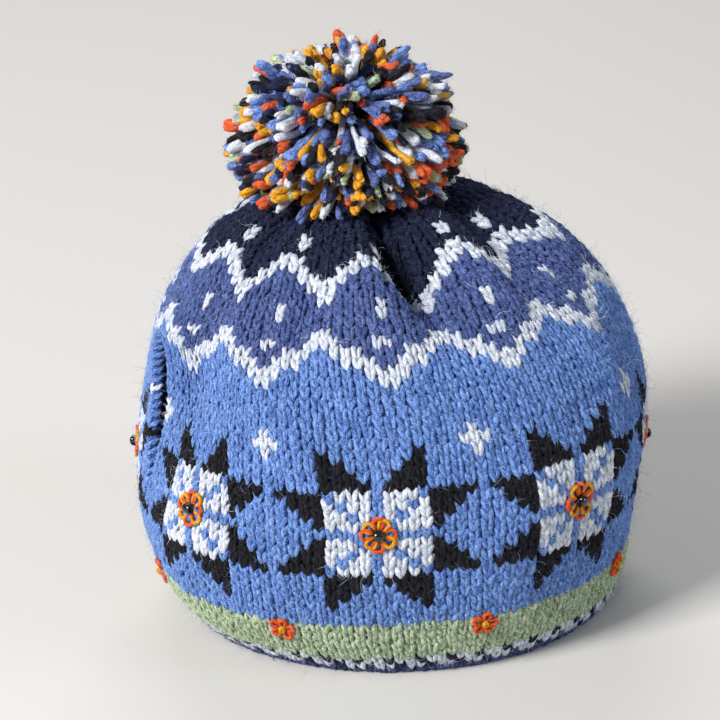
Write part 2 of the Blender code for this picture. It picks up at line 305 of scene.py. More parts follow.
def addMarks(mesh, marks, toneAndShade):
    kept = (("yarn", "FLOAT_VECTOR", "vector", marks), ("toneAndShade", "FLOAT", "value", toneAndShade))
    for name, kind, field, values in kept:
        mesh.attributes.new(name, kind, "POINT").data.foreach_set(field, values.astype(np.float32).ravel())


def addPiece(name, mesh, material):
    piece = bpy.data.objects.new(name, mesh)
    bpy.context.scene.collection.objects.link(piece)
    mesh.materials.append(material)
    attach(piece, "root")
    return piece


def inputOf(made, name):
    # i0 is the first input; any other name has _ for a space
    if name[0] == "i" and name[1:].isdigit():
        return made.inputs[int(name[1:])]
    return made.inputs[name.replace("_", " ")]


class Sock:
    # one shader value; plain numbers are taken as they are
    def __init__(self, tree, socket):
        self.tree = tree
        self.socket = socket

    def node(self, kind, settings=None, **inputs):
        made = self.tree.nodes.new(kind)
        for name, value in (settings or {}).items():
            setattr(made, name, value)
        for name, value in inputs.items():
            if isinstance(value, Sock):
                self.tree.links.new(value.socket, inputOf(made, name))
            else:
                inputOf(made, name).default_value = value
        return made

    def math(self, operation, *values):
        inputs = {f"i{index}": value for index, value in enumerate(values)}
        return Sock(self.tree, self.node("ShaderNodeMath", {"operation": operation}, **inputs).outputs[0])

    def __add__(self, other):
        return self.math("ADD", self, other)

    def __radd__(self, other):
        return self.math("ADD", other, self)

    def __sub__(self, other):
        return self.math("SUBTRACT", self, other)

    def __rsub__(self, other):
        return self.math("SUBTRACT", other, self)

    def __mul__(self, other):
        return self.math("MULTIPLY", self, other)

    def __rmul__(self, other):
        return self.math("MULTIPLY", other, self)

    def __pow__(self, other):
        return self.math("POWER", self, other)

    def __abs__(self):
        return self.math("ABSOLUTE", self)

    def sin(self):
        return self.math("SINE", self)

    def clamp(self):
        return self.math("MINIMUM", self.math("MAXIMUM", self, 0.0), 1.0)

    def ramp(self, low, high):
        # 0 below low, 1 above high
        made = self.node("ShaderNodeMapRange", {"interpolation_type": "SMOOTHSTEP"},
                         i0=self, i1=low, i2=high)
        return Sock(self.tree, made.outputs[0])

    def mixColours(self, one, other):
        made = self.node("ShaderNodeMix", {"data_type": "RGBA"}, i0=self, i6=one, i7=other)
        return Sock(self.tree, made.outputs[2])

    def times(self, colour):
        # a colour darkened or lightened by this value
        grey = self.node("ShaderNodeCombineColor", None, i0=self, i1=self, i2=self)
        made = self.node("ShaderNodeMix", {"data_type": "RGBA", "blend_type": "MULTIPLY"},
                         i0=1.0, i6=colour, i7=Sock(self.tree, grey.outputs[0]))
        return Sock(self.tree, made.outputs[2])


def rgb(red, green, blue):
    # a colour as a screen shows it, 0 to 255
    parts = [value / 255.0 for value in (red, green, blue)]
    linear = [value / 12.92 if value <= 0.04045 else ((value + 0.055) / 1.055) ** 2.4 for value in parts]
    return (*linear, 1.0)


def newMaterial(name):
    material = bpy.data.materials.new(name)
    material.use_nodes = True
    tree = material.node_tree
    shader = tree.nodes["Principled BSDF"]
    return material, tree, shader


def setInputs(shader, values):
    for name, value in values.items():
        shader.inputs[name].default_value = value


def noise(source, vector, scale, detail=2.0, roughness=0.5):
    made = source.node("ShaderNodeTexNoise", None, Vector=vector, Scale=scale,
                       Detail=detail, Roughness=roughness)
    return Sock(source.tree, made.outputs[0])


def attribute(tree, name):
    made = tree.nodes.new("ShaderNodeAttribute")
    made.attribute_name = name
    return made


wool = {
    "twist": 0.62,  # how fast the plies turn, radians per mm
    "plies": 2.0,
    "grooveShape": 0.55,
    "grooveShade": 0.38,  # painted shade: how much darker the yarn is between its plies
    "plyDepth": 0.20 * mm,
    "fibreDepth": 0.24 * mm,
    "laneWidth": 2.2,  # fibres: fine across the yarn and long with its twist
    "laneLength": 0.42,
    "laneJumps": (41.0, 17.0),
    # scale, detail and roughness of each noise
    "fibre": (0.85, 2.0, 0.55),
    "fine": (2.3, 3.0, 0.65),
    "mottle": (900.0, 3.0, 0.65),
    "patch": (40.0, 2.0, 0.5),  # uneven dye
    "speck": (2300.0, 2.0, 0.6),  # the ends of single fibres
    "web": (260.0, 1.0, 0.5),  # crossing hairs, felted on to the yarn
    "fibreEdges": (0.42, 0.58),
    "fineEdges": (0.44, 0.57),
    "webWidths": (0.0078, 0.026),
    # how much each shows in the colour, and in the relief
    "shares": {
        "fibre": 0.50, "fine": 0.62, "mottle": 1.1, "toneAndShade": 0.28,
        "hair": 0.45, "speck": 2.5, "patch": 0.30,
    },
    "relief": {"fine": 0.7, "mottle": 0.5, "hair": 0.3, "speck": 0.45},
    "dull": 0.10,  # taken off the colour all over
    "sheenRoughness": 0.45,
    "roughness": 0.88,
    "roughnessVaries": 0.12,
    "specular": 0.16,
    "softness": 0.30,  # how much light passes through the outer fibres, and how far
    "lightDepth": 0.9 * mm,
    "lightReach": (1.0, 0.9, 0.8),  # red reaches the furthest
}


def woolMaterial(name, light, dark, contrast, sheen, loft=1.0):
    # light and dark are painted light and shade, the lit fibres and the ones that lie deeper in the yarn;
    # the noise that mixes them is partly painted highlights along the fibres and partly the yarn's own
    # heathering
    material, tree, shader = newMaterial(name)
    shares, relief = wool["shares"], wool["relief"]
    start = Sock(tree, attribute(tree, "yarn").outputs["Vector"])
    toneAndShade = Sock(tree, attribute(tree, "toneAndShade").outputs["Fac"])
    parts = start.node("ShaderNodeSeparateXYZ", None, i0=start)
    across, up, along = (Sock(tree, socket) for socket in parts.outputs)
    turn = start.math("ARCTAN2", up, across)
    spun = turn + along * wool["twist"]
    groove = ((spun * wool["plies"]).sin() * 0.5 + 0.5) ** wool["grooveShape"]
    # each stitch reads its own part of the noise, moved by its tone
    jumps = [toneAndShade * jump for jump in wool["laneJumps"]]
    lane = start.node(
        "ShaderNodeCombineXYZ", None, X=start.math("COSINE", spun) * wool["laneWidth"] + jumps[0],
        Y=spun.sin() * wool["laneWidth"] + jumps[1], Z=along * wool["laneLength"])
    lane = Sock(tree, lane.outputs[0])
    place = Sock(tree, start.node("ShaderNodeTexCoord").outputs["Object"])
    fibre, fine = (noise(start, lane, *wool[name]) for name in ("fibre", "fine"))
    mottle, patch, speck, web = (
        noise(start, place, *wool[name]) for name in ("mottle", "patch", "speck", "web"))
    hair = 1.0 - abs(web - 0.5).ramp(*wool["webWidths"])
    lit = fibre.ramp(*wool["fibreEdges"]) * shares["fibre"] + fine.ramp(*wool["fineEdges"]) * shares["fine"]
    lit = lit + (mottle - 0.5) * shares["mottle"] - wool["dull"]
    # painted shade in the grooves between the plies
    lit = lit * (groove * wool["grooveShade"] + (1.0 - wool["grooveShade"]))
    # the tone holds random differences between stitches and, for stitches, painted shade in deep creases
    lit = lit + (toneAndShade - 0.5) * shares["toneAndShade"] + hair * shares["hair"] + (speck - 0.5) * shares["speck"]
    colour = lit.clamp().mixColours(rgb(*dark), rgb(*light))
    shade = (patch - 0.5) * shares["patch"] * contrast + 1.0
    tree.links.new(shade.times(colour).socket, shader.inputs["Base Color"])
    rough = (fibre + fine * relief["fine"] + mottle * relief["mottle"] + hair * relief["hair"]
             + speck * relief["speck"])
    height = groove * (wool["plyDepth"] * loft) + rough * (wool["fibreDepth"] * loft)
    bump = start.node("ShaderNodeBump", None, Height=height, Distance=1.0, Strength=1.0)
    tree.links.new(bump.outputs[0], shader.inputs["Normal"])
    roughness = wool["roughness"] + (fibre - 0.5) * wool["roughnessVaries"]
    tree.links.new(roughness.socket, shader.inputs["Roughness"])
    setInputs(shader, {
        "Sheen Weight": sheen,
        "Sheen Tint": rgb(*light),
        "Sheen Roughness": wool["sheenRoughness"],
        "Specular IOR Level": wool["specular"],
        "Subsurface Weight": wool["softness"],
        "Subsurface Radius": wool["lightReach"],
        "Subsurface Scale": wool["lightDepth"],
    })
    return material


# painted lit colour, painted shaded colour of the deeper fibres, unevenness of the dye and sheen
dyes = {
    "sky": ((138, 174, 233), (48, 80, 150), 1.0, 0.30),
    "slate": ((104, 124, 180), (36, 48, 98), 1.0, 0.30),
    "navy": ((46, 52, 86), (8, 10, 20), 1.0, 0.07),
    "white": ((242, 245, 250), (166, 175, 194), 0.6, 0.30),
    "black": ((38, 37, 44), (9, 9, 12), 1.0, 0.05),
    "green": ((208, 224, 192), (104, 122, 92), 1.0, 0.30),
    "denim": ((92, 106, 162), (30, 38, 76), 1.0, 0.30),
    "orange": ((250, 112, 54), (176, 50, 18), 1.0, 0.30),
    "gold": ((250, 180, 40), (190, 112, 8), 1.0, 0.30),
}
yarns = {name: woolMaterial(f"{name}Wool", *dye) for name, dye in dyes.items()}
print("wool mixed")


knitting = {
    "rowHeight": 3.53,  # mm
    "rows": 59,
    "hemTurn": 2,  # rows turned under at the hem
    # stitches round, from each row on
    "counts": ((-2, 144), (38, 120), (43, 96), (47, 72), (52, 48), (56, 36)),
    "hemRows": 1,
    "checkRows": 2,
    "greenRows": 5,
    "zigzags": ((33, 12, 4, 0.0), (42, 12, 5, 0.5)),  # first row, repeats, rise and phase of each border
    "zigzagRows": 2,
    "dashRow": 4,  # a short dash of white in the dip of the lower border
    "dashReach": 8,
    "fleckRows": ((40, 41), (49, 50)),  # white flecks, one to each zigzag
    "starRow": 18,  # middle row and spacing of the eight-petalled stars
    "starSpacing": 18,
    "crossRise": 9,  # rows from there to the small crosses between the stars
    "petal": 4,
    "largestPiece": 1900,  # a yarn with more stitches is parted into front and back
    "yarnWidth": 0.264,  # a leg's half width, as a share of its stitch
    "yarnHeight": 0.80,  # and its flatness
    "baseLift": -0.95,
    "unevenness": 0.10,
    "shifts": (0.35, 0.50, 2.0),  # how far it moves a leg across, up and out
    "shadow": 2.0,  # painted shade: how much darker the yarn is painted in a deep crease
    "widths": (1.6, 5.4),  # mm, the narrowest and widest stitch
    "shadowDepths": (7.0, 17.0),  # a crease this deep gets painted shade
    "shadowRuns": (20.0, 40.0),
    "wander": (0.33, 0.385),  # degrees and mm that columns and rows stray
    "calmReach": 60.0,  # less so within this many mm of the crown's middle
    # in these waves: count round, drift in mm, phase and size
    "columnWaves": ((7.0, 15.0, 0.0, 1.0), (17.0, -8.0, 2.0, 0.7)),
    "rowWaves": ((9.0, -12.0, 1.0, 1.0), (23.0, 7.0, 0.0, 0.6)),
    "skew": 0.10,  # how far a leg leans its own way
    "sides": 5,
    "seed": 11,
}

# one leg of a stitch: across and up as shares of the stitch, lift in mm, and thickness
legPath = np.array((
    (0.03, -1.06, -0.50, 0.00),
    (0.085, -0.72, 0.46, 0.68),
    (0.185, -0.16, 0.64, 1.03),
    (0.335, 0.38, 0.22, 1.00),
    (0.450, 0.94, -1.45, 0.00),
))


def stitchCount(row):
    return [count for start, count in knitting["counts"] if row >= start][-1]


def isPetal(across, up):
    # one eighth of the star, folded over its axes and diagonals
    near, far = min(across, up), max(across, up)
    size = knitting["petal"]
    if near < 1 or far < 2 or far > 2 * size:
        return False
    if far <= size + 1:
        return near <= far - 1
    return far - size <= near <= size


def aboveZigzag(share, row, zigzag):
    # how many rows a stitch lies above the border's line; 0 is on it
    first, repeats, rise, offset = zigzag
    phase = (share * repeats + offset) % 1.0
    return row - first - round(rise * abs(1.0 - 2.0 * phase))


def starYarn(row, column):
    spacing = knitting["starSpacing"]
    across = abs(column % spacing - spacing // 2)
    up = row - knitting["starRow"]
    if isPetal(across, abs(up)):
        return "white" if max(across, abs(up)) <= knitting["petal"] else "black"
    if across + abs(up) == 0:
        return "black"
    if abs(spacing // 2 - across) + abs(up - knitting["crossRise"]) <= 1:
        return "white"
    return "sky"


def yarnAt(row, column, count):
    share = (column + 0.5) / count
    checks = knitting["hemRows"] + knitting["checkRows"]
    if row < knitting["hemRows"]:
        return "denim"
    if row < checks:
        return "navy" if (column + row) % 3 == 2 else "white"
    if row < checks + knitting["greenRows"]:
        return "green"
    low, high = (aboveZigzag(share, row, zigzag) for zigzag in knitting["zigzags"])
    repeats = knitting["zigzags"][0][1]
    middle = (share * repeats) % 1.0
    if low < -1:
        return starYarn(row, column)
    if low < 0:
        return "sky"
    if low < knitting["zigzagRows"]:
        return "white"
    repeat = count // repeats
    fleck = column % repeat == repeat // 2
    if high < 0:
        dash = low == knitting["dashRow"] and abs(middle - 0.5) * count < knitting["dashReach"]
        return "white" if dash or (fleck and row in knitting["fleckRows"][0]) else "slate"
    border = high < knitting["zigzagRows"]
    return "white" if border or (fleck and row in knitting["fleckRows"][1]) else "navy"


def layTubes(places, path, radii, sides, flatness=1.0):
    # places are angle, run and side; the paths are across, up and lift from there, in mm
    up = np.broadcast_to(np.array((0.0, 0.0, 1.0)), path.shape)
    points = tubePoints(path, radii, up, sides, flatness)
    return fromCloth(places, points), yarnMarks(path, sides).reshape(-1, 3), points.shape[1]


def tubePiece(name, batches, material, sides):
    # each batch holds points, marks, tones (for stitches, with painted shade in deep creases) and the number
    # of its tubes; all have the same stations
    points = np.concatenate([batch[0] for batch in batches])
    copies = sum(batch[3] for batch in batches)
    rings = (len(points) // copies - 2) // sides
    mesh = meshFromFaces(name, points, tubeFaces(rings, sides), copies)
    marks, toneAndShade = (np.concatenate([batch[part] for batch in batches]) for part in (1, 2))
    addMarks(mesh, marks, toneAndShade)
    return addPiece(name, mesh, material)


def stitchWidth(angle, run, side, counts):
    half = 180.0 / counts
    width = np.linalg.norm(clothAt(angle + half, run, side) - clothAt(angle - half, run, side), axis=-1)
    return np.clip(width, *knitting["widths"])


def sumWaves(waves, turn, run):
    return sum(size * np.sin(count * turn + run / drift + phase) for count, drift, phase, size in waves)


def strayed(angle, run):
    # hand knitting is never even: its columns and rows wander a little
    turn = np.radians(angle)
    calm = smoothStep(0.0, knitting["calmReach"], run)
    around, down = knitting["wander"]
    strayedAngle = angle + calm * around * sumWaves(knitting["columnWaves"], turn, run)
    return strayedAngle, run + calm * down * sumWaves(knitting["rowWaves"], turn, run)


def inShadow(angle, run):
    # painted shade: 1 at the bottom of a deep crease, where the wool is painted darkest
    deep = smoothStep(*knitting["shadowDepths"], foldDepth(angle, run))
    return deep * smoothStep(*knitting["shadowRuns"], run)


def knitLegs(rows, columns, counts, mirror, chance):
    number = len(rows)
    angle = -180.0 + (columns + 0.5) * 360.0 / counts
    run = length - (rows + 0.5) * knitting["rowHeight"]
    side = np.where(angle > 0.0, 1.0, -1.0)
    dark = inShadow(angle, run)
    angle, run = strayed(angle, run)
    width = stitchWidth(angle, run, side, counts)
    wobble = chance.normal(0.0, knitting["unevenness"], (number, 4))
    across, up, out = knitting["shifts"]
    path = np.repeat(legPath[None, :, :3], number, axis=0)
    path[..., 0] = (path[..., 0] * (1.0 + wobble[:, :1]) + wobble[:, 1:2] * across) * width[:, None] * mirror
    path[..., 1] = (path[..., 1] * (1.0 + wobble[:, 2:3]) + wobble[:, 3:4] * up) * knitting["rowHeight"]
    path[..., 0] += path[..., 1] * chance.normal(0.0, knitting["skew"], (number, 1))
    path[..., 2] += knitting["baseLift"] + wobble[:, :1] * out
    thickness = legPath[:, 3] * (1.0 + chance.normal(0.0, knitting["unevenness"], (number, 1)))
    radii = thickness * knitting["yarnWidth"] * width[:, None]
    points, marks, each = layTubes(
        (angle, run, side), path, radii, knitting["sides"], knitting["yarnHeight"])
    # each stitch's random tone, less the painted shade of a deep crease
    toneAndShade = chance.uniform(0.0, 1.0, number) - knitting["shadow"] * dark
    return points, marks, np.repeat(toneAndShade, each), number


def layChart():
    chart = [
        (row, column, stitchCount(row), yarnAt(row, column, stitchCount(row)))
        for row in range(-knitting["hemTurn"], knitting["rows"])
        for column in range(stitchCount(row))
    ]
    rows, columns, counts, names = zip(*chart)
    return np.array(rows, float), np.array(columns, float), np.array(counts, float), np.array(names)


def knitCover():
    chance = np.random.default_rng(knitting["seed"])
    rows, columns, counts, names = layChart()
    pieces = []
    for yarn in sorted(set(names)):
        ours = names == yarn
        groups = {f"{yarn}Stitches": ours}
        if ours.sum() > knitting["largestPiece"]:
            front = columns < counts / 2
            groups = {f"{yarn}StitchesFront": ours & front, f"{yarn}StitchesBack": ours & ~front}
        for name, chosen in groups.items():
            batches = [
                knitLegs(rows[chosen], columns[chosen], counts[chosen], mirror, chance)
                for mirror in (-1.0, 1.0)
            ]
            pieces.append(tubePiece(name, batches, yarns[yarn], knitting["sides"]))
            print(f"{name}: {int(chosen.sum())} stitches")
    return pieces


stitchPieces = knitCover()


# the cloth behind the stitches: it closes the gaps between them and shows its purl side within
backing = {
    "outerLift": -1.25,  # mm below the outer face
    "thickness": 4.0,
    "hemThickness": 6.6,
    "hemHeight": 14.0,
    "columns": 144,
    "ringsPerRing": 3,
    "edge": 0.1,  # how softly one colour meets the next, in rows
    "zigzagStart": (-0.2, 0.2),
    "zigzagEnd": (1.2, 1.6),
    "bumpArc": 0.16,
    "bumpShades": (0.70, 0.35),  # painted shade between the purl bumps, and how much brighter the bumps are painted
    "bumpDepth": 0.9 * mm,
    "fibre": (900.0, 3.0, 0.7),  # scale, detail and roughness of each noise
    "patch": (60.0, 2.0, 0.5),
    "fibreShare": 0.5,
    "patchShare": 0.2,
    "fibreDepth": 0.25 * mm,
    "innerShare": 0.20,  # how much brighter the cloth is inside than behind the stitches, where it is painted darker as shade in the gaps
    "hem": (50, 64, 118),
    "checks": (90, 96, 120),
    "green": (172, 196, 140),
    "sky": (96, 130, 200),
    "white": (226, 230, 238),
    "slate": (84, 98, 158),
    "navy": (30, 34, 60),
}


def backingGrid(side):
    # columns x rings x (outer, inner) points of one panel, in metres
    columns = backing["columns"] // 2 + 1
    rings = body["rings"] * backing["ringsPerRing"] + 1
    angles = np.linspace(0.0, 180.0, columns) * side
    levels = np.linspace(0.0, length, rings)
    angle, run = (grid.ravel() for grid in np.meshgrid(angles, levels, indexing="ij"))
    sides = np.full_like(angle, side)
    thick = backing["thickness"] + (backing["hemThickness"] - backing["thickness"]) * smoothStep(
        length - backing["hemHeight"], length, run)
    outer = onCloth(angle, run, sides, np.full_like(angle, backing["outerLift"]))
    inner = onCloth(angle, run, sides, -thick)
    row = (length - run) / knitting["rowHeight"]
    marks = np.stack((angle / 360.0 % 1.0, row, np.zeros_like(run)), axis=-1)
    inside = marks + np.array((0.0, 0.0, 1.0))
    shape = (columns, rings, 3)
    return outer.reshape(shape), inner.reshape(shape), marks.reshape(shape), inside.reshape(shape)


def wallQuad(corners, one, other):
    # joins the outer face to the inner one, at the hem or round a slot
    return [corners[0, *one], corners[1, *one], corners[1, *other], corners[0, *other]]


def makeBacking():
    points, marks, faces = [], [], []
    total = 0
    slotRings = [ring * backing["ringsPerRing"] for ring in slots[0][1:3]]
    for side in (-1.0, 1.0):
        outer, inner, outerMarks, innerMarks = backingGrid(side)
        columns, rings = outer.shape[:2]
        size = columns * rings
        corners = {
            (layer, column, ring): total + layer * size + column * rings + ring
            for layer in (0, 1) for column in range(columns) for ring in range(rings)
        }
        points += [outer.reshape(-1, 3), inner.reshape(-1, 3)]
        marks += [outerMarks.reshape(-1, 3), innerMarks.reshape(-1, 3)]
        quads = []
        for column in range(columns - 1):
            for ring in range(rings - 1):
                here = [(column, ring), (column, ring + 1), (column + 1, ring + 1), (column + 1, ring)]
                quads.append([corners[0, *spot] for spot in here])
                quads.append([corners[1, *spot] for spot in reversed(here)])
            quads.append(wallQuad(corners, (column, rings - 1), (column + 1, rings - 1)))
        for column, order in ((0, 1), (columns - 1, -1)):
            for ring in range(*slotRings):
                quads.append(wallQuad(corners, (column, ring), (column, ring + 1))[::order])
        if side < 0.0:
            quads = [quad[::-1] for quad in quads]
        faces += quads
        total += 2 * size
    mesh = meshFromFaces("clothBehindStitches", np.concatenate(points), faces)
    mesh.attributes.new("cloth", "FLOAT_VECTOR", "POINT").data.foreach_set(
        "vector", np.concatenate(marks).astype(np.float32).ravel())
    return mesh


def closeSeams(piece):
    bpy.ops.object.select_all(action="DESELECT")
    bpy.context.view_layer.objects.active = piece
    piece.select_set(True)
    bpy.ops.object.mode_set(mode="EDIT")
    bpy.ops.mesh.select_all(action="SELECT")
    bpy.ops.mesh.remove_doubles(threshold=0.01 * mm)
    bpy.ops.mesh.normals_make_consistent(inside=False)
    bpy.ops.object.mode_set(mode="OBJECT")
    piece.select_set(False)


def rowsAbove(share, row, zigzag):
    first, repeats, rise, offset = zigzag
    turned = share * (2.0 * repeats) + 2.0 * offset
    return row - (first + 0.5) - (1.0 - turned.math("PINGPONG", turned, 1.0)) * float(rise)


def backingColour(share, row):
    low, high = (rowsAbove(share, row, zigzag) for zigzag in knitting["zigzags"])
    green = knitting["hemRows"] + knitting["checkRows"]
    sky = green + knitting["greenRows"]
    edge = backing["edge"]
    colour = rgb(*backing["hem"])
    for above, start, end, name in (
        (row, knitting["hemRows"] - edge, knitting["hemRows"] + edge, "checks"),
        (row, green - edge, green + edge, "green"),
        (row, sky - edge, sky + edge, "sky"),
        (low, *backing["zigzagStart"], "white"),
        (low, *backing["zigzagEnd"], "slate"),
        (high, *backing["zigzagStart"], "white"),
        (high, *backing["zigzagEnd"], "navy"),
    ):
        colour = above.ramp(start, end).mixColours(colour, rgb(*backing[name]))
    return colour


def backingMaterial():
    material, tree, shader = newMaterial("woolPurlSide")
    cloth = Sock(tree, attribute(tree, "cloth").outputs["Vector"])
    parts = cloth.node("ShaderNodeSeparateXYZ", i0=cloth)
    share, row, inside = (Sock(tree, socket) for socket in parts.outputs)
    colour = backingColour(share, row)
    # purl bumps: short arcs, one row turned up and the next down
    column = share * float(knitting["counts"][0][1])
    arc = (column * (2.0 * pi)).sin()
    bumps = ((row + arc * backing["bumpArc"]) * (2.0 * pi)).sin() * 0.5 + 0.5
    place = Sock(tree, cloth.node("ShaderNodeTexCoord").outputs["Object"])
    fibre, patch = (noise(cloth, place, *backing[name]) for name in ("fibre", "patch"))
    between, brighter = backing["bumpShades"]
    # painted shade between the purl bumps and painted light on them, with fibre noise and uneven patches
    shade = between + bumps * brighter + (fibre - 0.5) * backing["fibreShare"]
    shade = shade + (patch - 0.5) * backing["patchShare"]
    # painted shade in the gaps behind the stitches; the inside is left brighter
    shade = shade * ((1.0 - backing["innerShare"]) + inside * backing["innerShare"])
    tree.links.new(shade.times(colour).socket, shader.inputs["Base Color"])
    height = bumps * backing["bumpDepth"] + fibre * backing["fibreDepth"]
    bump = cloth.node("ShaderNodeBump", Height=height, Distance=1.0, Strength=1.0)
    tree.links.new(bump.outputs[0], shader.inputs["Normal"])
    setInputs(shader, {"Roughness": 0.95, "Specular IOR Level": 0.1})
    return material


backingPiece = addPiece("clothBehindStitches", makeBacking(), backingMaterial())
closeSeams(backingPiece)
print("cloth made")


# selvedge: the edge stitches curl round the rims of the slots
selvedge = {
    "path": (
        (-2.0, -1.9, -1.5), (-1.2, -1.2, -0.5), (0.1, -0.3, -0.75),
        (0.75, 0.5, -2.4), (0.0, 1.2, -4.0), (-1.6, 1.8, -3.8),
    ),
    "thickness": (0.0, 0.85, 1.0, 1.0, 0.9, 0.0),
    "width": 0.98,  # mm, half a strand
    "unevenness": 0.05,
    "wander": 0.08,  # mm
    "seed": 31,
}


def edgeColumn(centre, side, count):
    # the column of stitches that this edge of a slot belongs to
    if centre == 0.0:
        return count // 2 if side > 0.0 else count // 2 - 1
    return count - 1 if side > 0.0 else 0


def edgeStitches():
    # for each yarn: angle, run and side of its stitches, and which way the cloth lies from the rim
    made = {}
    for centre, topRing, bottomRing, *_ in slots:
        first = int((length - bottomRing * ringStep) / knitting["rowHeight"]) - 1
        last = int((length - topRing * ringStep) / knitting["rowHeight"]) + 1
        for side in (-1.0, 1.0):
            toSeam = -side if centre == 0.0 else side
            for row in range(first, last + 1):
                count = stitchCount(row)
                yarn = yarnAt(row, edgeColumn(centre, side, count), count)
                run = length - (row + 0.5) * knitting["rowHeight"]
                made.setdefault(yarn, []).append((centre * side, run, side, toSeam))
    return made


def knitSelvedges():
    chance = np.random.default_rng(selvedge["seed"])
    pieces = []
    for yarn, spots in edgeStitches().items():
        count = len(spots)
        angle, run, side, toSeam = np.array(spots).T
        path = np.repeat(np.array(selvedge["path"])[None], count, axis=0)
        path += chance.normal(0.0, selvedge["wander"], (count, 1, 3))
        path[..., 0] *= toSeam[:, None]
        uneven = 1.0 + chance.normal(0.0, selvedge["unevenness"], (count, 1))
        radii = np.array(selvedge["thickness"]) * selvedge["width"] * uneven
        points, marks, each = layTubes((angle, run, side), path, radii, knitting["sides"])
        toneAndShade = np.repeat(chance.uniform(0.0, 1.0, count), each)
        batches = [(points, marks, toneAndShade, count)]
        pieces.append(tubePiece(f"{yarn}SlotEdge", batches, yarns[yarn], knitting["sides"]))
    return pieces


edgePieces = knitSelvedges()
print("slot edges knitted")


# embroidery: a daisy and a glass bead in each star, and small daisies along the green border
daisies = {
    "bigPetals": 8,
    "bigReach": 6.2,  # mm from the middle to a petal's tip
    "smallPetals": 5,
    "smallReach": 4.4,
    "petalWidth": 0.30,  # half a petal's width against its reach
    "yarn": 0.72,  # mm, half a strand
    "lift": 0.60,
    "arch": 0.35,  # a petal rises in its middle and dips into the cloth at its ends
    "dip": 0.9,
    "sizes": (0.9, 1.1),
    "spin": 0.15,
    "jitter": 0.07,
    "roundness": 0.8,  # the smaller, the blunter a petal
    "stations": 9,
    "sides": 7,
    "taper": 0.85,
    "unevenness": 0.04,
    "tones": (0.3, 0.9),
    "smallRow": 6.6,
    "knotReach": 1.0,
    "knotYarn": 0.6,
    "knotTurns": 1.8,
    "knotStations": 14,
    "knotLift": 0.5,
    "knotRise": 0.1,
    "knotCloses": 0.45,
    "beadRadius": 2.05,
    "beadHole": 0.16,
    "beadLength": 0.92,  # against its thickness
    "beadLift": 1.60,
    "beadSteps": (24, 18),  # faces round the bead and round its wall
    "seed": 23,
}


def petalPaths(places, count, reach, first, step, chance):
    # each petal is a loop of yarn out from the middle and back, sewn down flat
    stations = np.linspace(0.0, 1.0, daisies["stations"])
    out = np.sin(pi * stations) ** daisies["roundness"] * reach
    aside = np.sin(2.0 * pi * stations) * reach * daisies["petalWidth"]
    ends = np.abs(stations - 0.5) > 0.49
    lift = daisies["lift"] + daisies["arch"] * np.sin(pi * stations) - daisies["dip"] * ends
    paths, spots = [], []
    for angle, run, side in places:
        spin = chance.uniform(-daisies["spin"], daisies["spin"])
        for petal in range(first, count, step):
            turn = 2.0 * pi * petal / count + spin + chance.normal(0.0, daisies["jitter"])
            size = chance.uniform(*daisies["sizes"])
            across = (out * cos(turn) - aside * sin(turn)) * size
            up = (out * sin(turn) + aside * cos(turn)) * size
            paths.append(np.stack((across, up, lift), axis=-1))
            spots.append((angle, run, side))
    return np.array(paths), np.array(spots).T


def sewTubes(name, paths, spots, yarn, chance, width=daisies["yarn"]):
    stations = paths.shape[1]
    thickness = np.ones(stations)
    thickness[[0, -1]] = 0.0
    thickness[[1, -2]] = daisies["taper"]
    radii = thickness * width * (1.0 + chance.normal(0.0, daisies["unevenness"], (len(paths), 1)))
    points, marks, each = layTubes(tuple(spots), paths, radii, daisies["sides"])
    toneAndShade = np.repeat(chance.uniform(*daisies["tones"], len(paths)), each)
    return tubePiece(name, [(points, marks, toneAndShade, len(paths))], yarns[yarn], daisies["sides"])


def chartPlaces(row, firstColumn):
    count = knitting["counts"][0][1]
    places = []
    for column in range(firstColumn, count, knitting["starSpacing"]):
        angle = -180.0 + (column + 0.5) * 360.0 / count
        places.append((angle, length - (row + 0.5) * knitting["rowHeight"], 1.0 if angle > 0.0 else -1.0))
    return places


def sewDaisies():
    chance = np.random.default_rng(daisies["seed"])
    stars = chartPlaces(knitting["starRow"], knitting["starSpacing"] // 2)
    corners = chartPlaces(daisies["smallRow"], 0)
    pieces = []
    for name, first, yarn in (("orangePetals", 0, "orange"), ("goldPetals", 1, "gold")):
        paths, spots = petalPaths(stars, daisies["bigPetals"], daisies["bigReach"], first, 2, chance)
        pieces.append(sewTubes(name, paths, spots, yarn, chance))
    paths, spots = petalPaths(corners, daisies["smallPetals"], daisies["smallReach"], 0, 1, chance)
    pieces.append(sewTubes("smallDaisies", paths, spots, "orange", chance))
    # a French knot in the middle of each small daisy
    turn = np.linspace(0.0, 2.0 * pi * daisies["knotTurns"], daisies["knotStations"])
    reach = daisies["knotReach"] * (1.0 - turn / turn[-1] * daisies["knotCloses"])
    lift = daisies["lift"] + daisies["knotLift"] + turn * daisies["knotRise"]
    knot = np.stack((reach * np.cos(turn), reach * np.sin(turn), lift), axis=-1)
    knots = np.repeat(knot[None], len(corners), axis=0)
    pieces.append(sewTubes("goldKnots", knots, np.array(corners).T, "gold", chance, daisies["knotYarn"]))
    return pieces, stars


def beadMaterial():
    material, _, shader = newMaterial("blackGlass")
    setInputs(shader, {
        "Base Color": rgb(14, 13, 16), "Roughness": 0.08, "Coat Weight": 0.6, "Coat Roughness": 0.04,
    })
    return material


